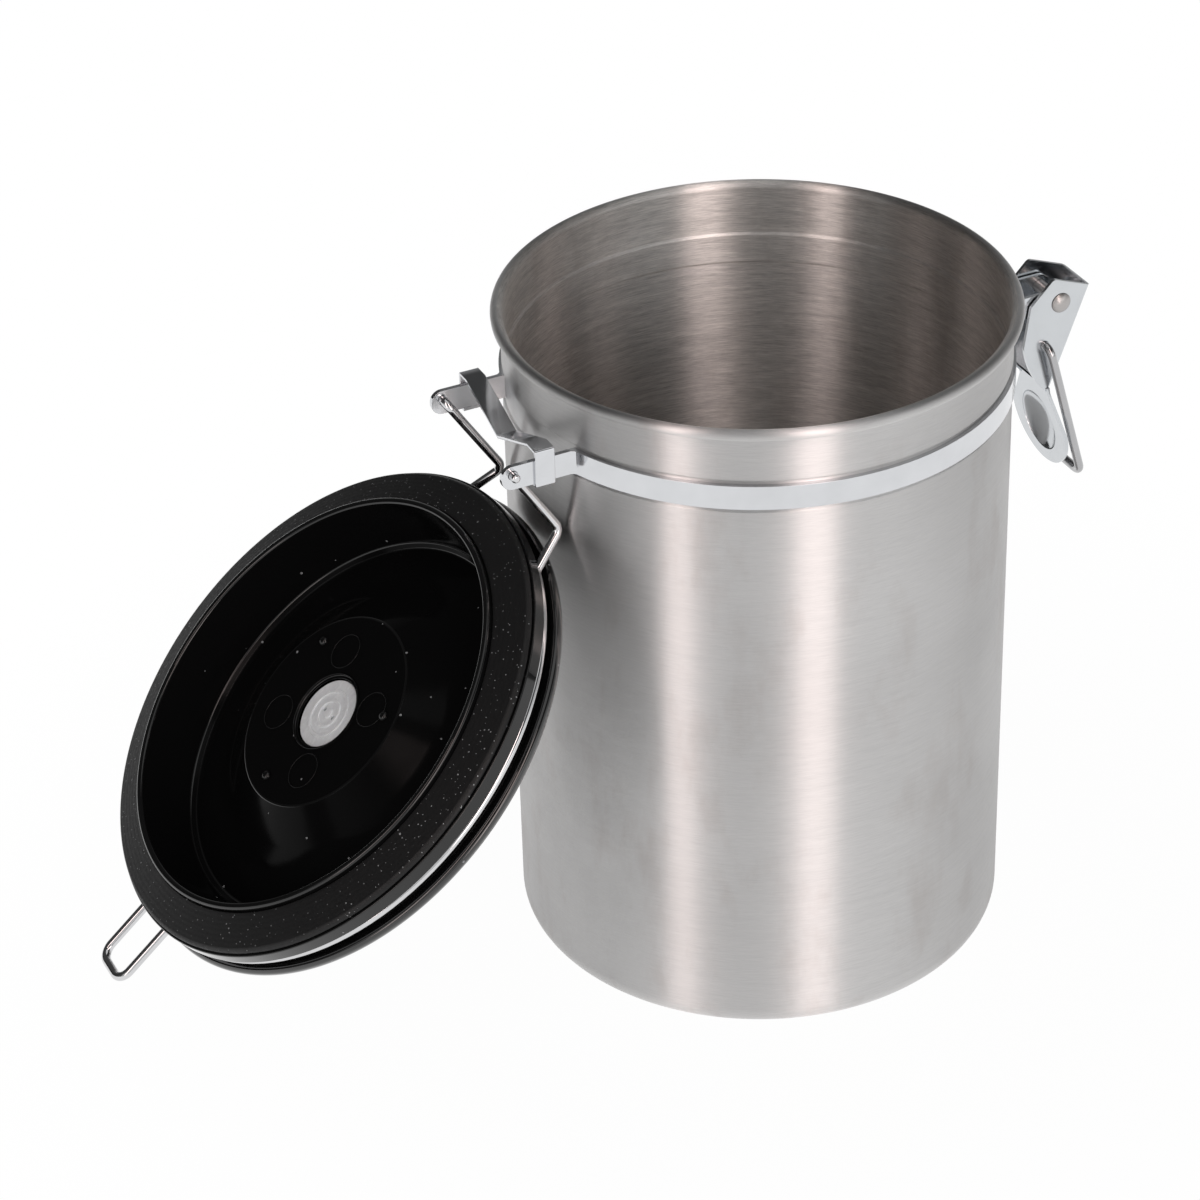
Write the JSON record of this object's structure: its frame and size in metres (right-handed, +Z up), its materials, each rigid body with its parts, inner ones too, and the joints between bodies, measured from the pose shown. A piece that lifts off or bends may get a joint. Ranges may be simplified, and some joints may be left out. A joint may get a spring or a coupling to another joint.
{
  "type": "coffee canister",
  "caption": "Cylindrical steel coffee canister with a wire-clamped hinged lid, rubber gasket, one-way gas valve and an over-centre lever latch.",
  "frame": {"origin": "centre of the base, on the surface that the canister stands on", "axes": "+Z up along the body, +X from the body's axis to the latch, the lid's hinge at -X, +Y along the hinge"},
  "size_m": [0.2613, 0.1278, 0.1692],
  "materials": {
    "brushed_steel": "satin, brushed round the body",
    "chrome": "bright plated",
    "black_plastic": "gloss",
    "gasket_rubber": "matt",
    "valve_plastic": "milky, slightly translucent",
    "valve_silicone": "soft matt"
  },
  "bodies": {
    "canister": {"canister_shell": "brushed_steel", "neck_band": "chrome", "hinge_clip": "chrome", "latch_bracket": "chrome", "latch_rivet": "chrome"},
    "lid": {"lid_base": "black_plastic", "lid_cover": "black_plastic", "lid_gasket": "gasket_rubber", "lid_hoop": "chrome", "valve_body": "valve_plastic", "valve_cage": "valve_plastic", "valve_cap": "black_plastic"},
    "lever": {"latch_lever": "chrome"},
    "bail": {"latch_bail": "chrome"},
    "valve": {"valve_disc": "valve_silicone"}
  },
  "joints": [
    {"name": "lid_hinge", "type": "hinge", "parent": "canister", "child": "lid", "pos_m": [-0.0725, 0, 0.1522], "axis": [0, 1, 0], "range_deg": [0, 220.7]},
    {"name": "lever_pivot", "type": "hinge", "parent": "canister", "child": "lever", "pos_m": [0.0797, 0, 0.1502], "axis": [0, 1, 0], "range_deg": [-130, 0]},
    {"name": "bail_pivot", "type": "hinge", "parent": "lever", "child": "bail", "pos_m": [0.07558, 0, 0.13957], "axis": [0, -1, 0], "range_deg": [0, 167.1]},
    {"name": "valve_lift", "type": "slide", "parent": "lid", "child": "valve", "axis": [0.6525, 0, -0.7578], "range_m": [0, 0.0008], "stiffness_N_per_m": 50, "springref_m": -0.0004}
  ]
}
